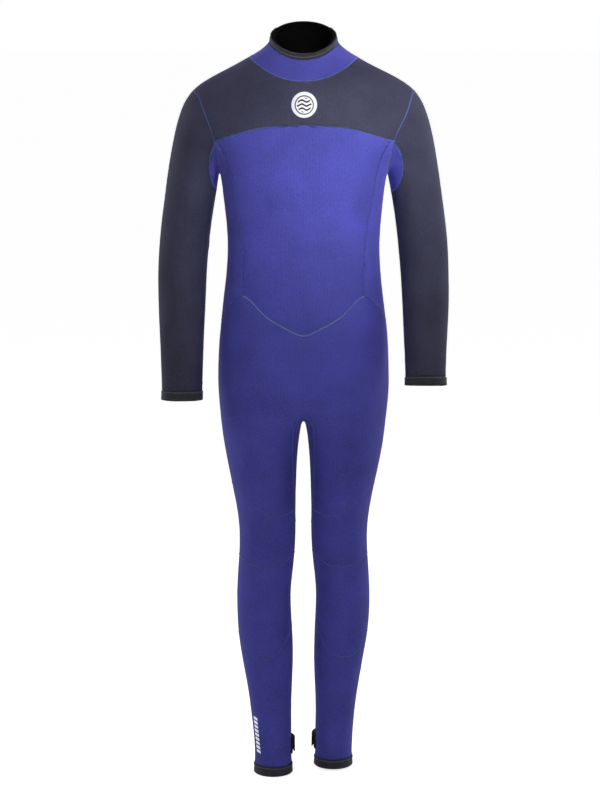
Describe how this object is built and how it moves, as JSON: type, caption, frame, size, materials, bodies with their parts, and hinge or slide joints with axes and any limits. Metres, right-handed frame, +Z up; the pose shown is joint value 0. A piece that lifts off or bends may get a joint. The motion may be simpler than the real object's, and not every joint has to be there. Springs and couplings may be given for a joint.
{
  "type": "full wetsuit",
  "caption": "Full-length long-sleeved winter wetsuit of seamed neoprene panels, with a high collar, a back zip, and strapped ankles.",
  "frame": {"origin": "middle of the neck, level with the foot of the collar at its sides, where the suit hangs", "axes": "+X towards the wearer's left, -Y towards the front, +Z up towards the collar"},
  "size_m": [0.4798, 0.2072, 1.2536],
  "materials": {
    "neoprene_blue": "knitted nylon face on foam neoprene, matt",
    "neoprene_light_blue": "knitted nylon face on foam neoprene, matt",
    "neoprene_charcoal": "knitted nylon face on foam neoprene, matt",
    "binding_black": "stretch binding tape, matt",
    "zip_tape_black": "woven tape, matt",
    "zip_plastic": "moulded acetal, satin",
    "hook_and_loop": "napped hook and loop, matt",
    "badge_white": "moulded soft badge, satin",
    "print_white": "heat transfer film, satin"
  },
  "bodies": {
    "suit": {"neck_collar": "neoprene_blue", "front_torso_panel": "neoprene_blue", "front_hip_panel": "neoprene_blue", "crotch_gusset": "neoprene_blue", "back_panel_left": "neoprene_blue", "back_panel_right": "neoprene_blue", "seat_panel_left": "neoprene_blue", "seat_panel_right": "neoprene_blue", "knee_panel_left": "neoprene_blue", "knee_panel_right": "neoprene_blue", "shin_panel_left": "neoprene_blue", "shin_panel_right": "neoprene_blue", "lower_leg_panel_left": "neoprene_blue", "lower_leg_panel_right": "neoprene_blue", "calf_panel_left": "neoprene_blue", "calf_panel_right": "neoprene_blue", "underarm_gusset_left": "neoprene_blue", "underarm_gusset_right": "neoprene_blue", "side_panel_left": "neoprene_light_blue", "side_panel_right": "neoprene_light_blue", "shoulder_yoke": "neoprene_charcoal", "zip_backing_flap": "neoprene_charcoal", "sleeve_front_left": "neoprene_charcoal", "sleeve_front_right": "neoprene_charcoal", "sleeve_back_left": "neoprene_charcoal", "sleeve_back_right": "neoprene_charcoal", "neck_binding": "binding_black", "cuff_binding_left": "binding_black", "cuff_binding_right": "binding_black", "ankle_binding_left": "binding_black", "ankle_binding_right": "binding_black", "zip_tape_left": "zip_tape_black", "zip_tape_right": "zip_tape_black", "zip_teeth_left": "zip_plastic", "zip_teeth_right": "zip_plastic", "zip_top_stop_left": "zip_plastic", "zip_top_stop_right": "zip_plastic", "zip_bottom_stop": "zip_plastic", "neck_loop_patch": "hook_and_loop", "strap_loop_patch_left": "hook_and_loop", "strap_loop_patch_right": "hook_and_loop", "chest_badge": "badge_white", "leg_stripes": "print_white"},
    "slider": {"zip_slider": "zip_plastic", "zip_slider_pin": "zip_plastic"},
    "pull_tab": {"zip_pull_tab": "zip_plastic"},
    "neck_flap": {"neck_closure_flap": "neoprene_blue", "neck_hook_pad": "hook_and_loop"},
    "ankle_strap_left": {"ankle_strap_left": "binding_black", "strap_hook_pad_left": "hook_and_loop"},
    "ankle_strap_right": {"ankle_strap_right": "binding_black", "strap_hook_pad_right": "hook_and_loop"}
  },
  "joints": [
    {"name": "zip_slide", "type": "slide", "parent": "suit", "child": "slider", "axis": [0, 0, -1], "range_m": [0, 0.335]},
    {"name": "pull_tab_swing", "type": "hinge", "parent": "slider", "child": "pull_tab", "pos_m": [0, 0.0801, -0.029], "axis": [1, 0, 0], "range_deg": [0, 150]},
    {"name": "neck_flap_open", "type": "hinge", "parent": "suit", "child": "neck_flap", "pos_m": [-0.0362, 0.0455, 0.025], "axis": [0, 0, 1], "range_deg": [0, 100]},
    {"name": "ankle_strap_left_open", "type": "hinge", "parent": "suit", "child": "ankle_strap_left", "pos_m": [0.0396, 0.0446, -1.153], "axis": [0, 0, -1], "range_deg": [0, 18]},
    {"name": "ankle_strap_right_open", "type": "hinge", "parent": "suit", "child": "ankle_strap_right", "pos_m": [-0.0396, 0.0132, -1.154], "axis": [0, 0, 1], "range_deg": [0, 18]}
  ]
}
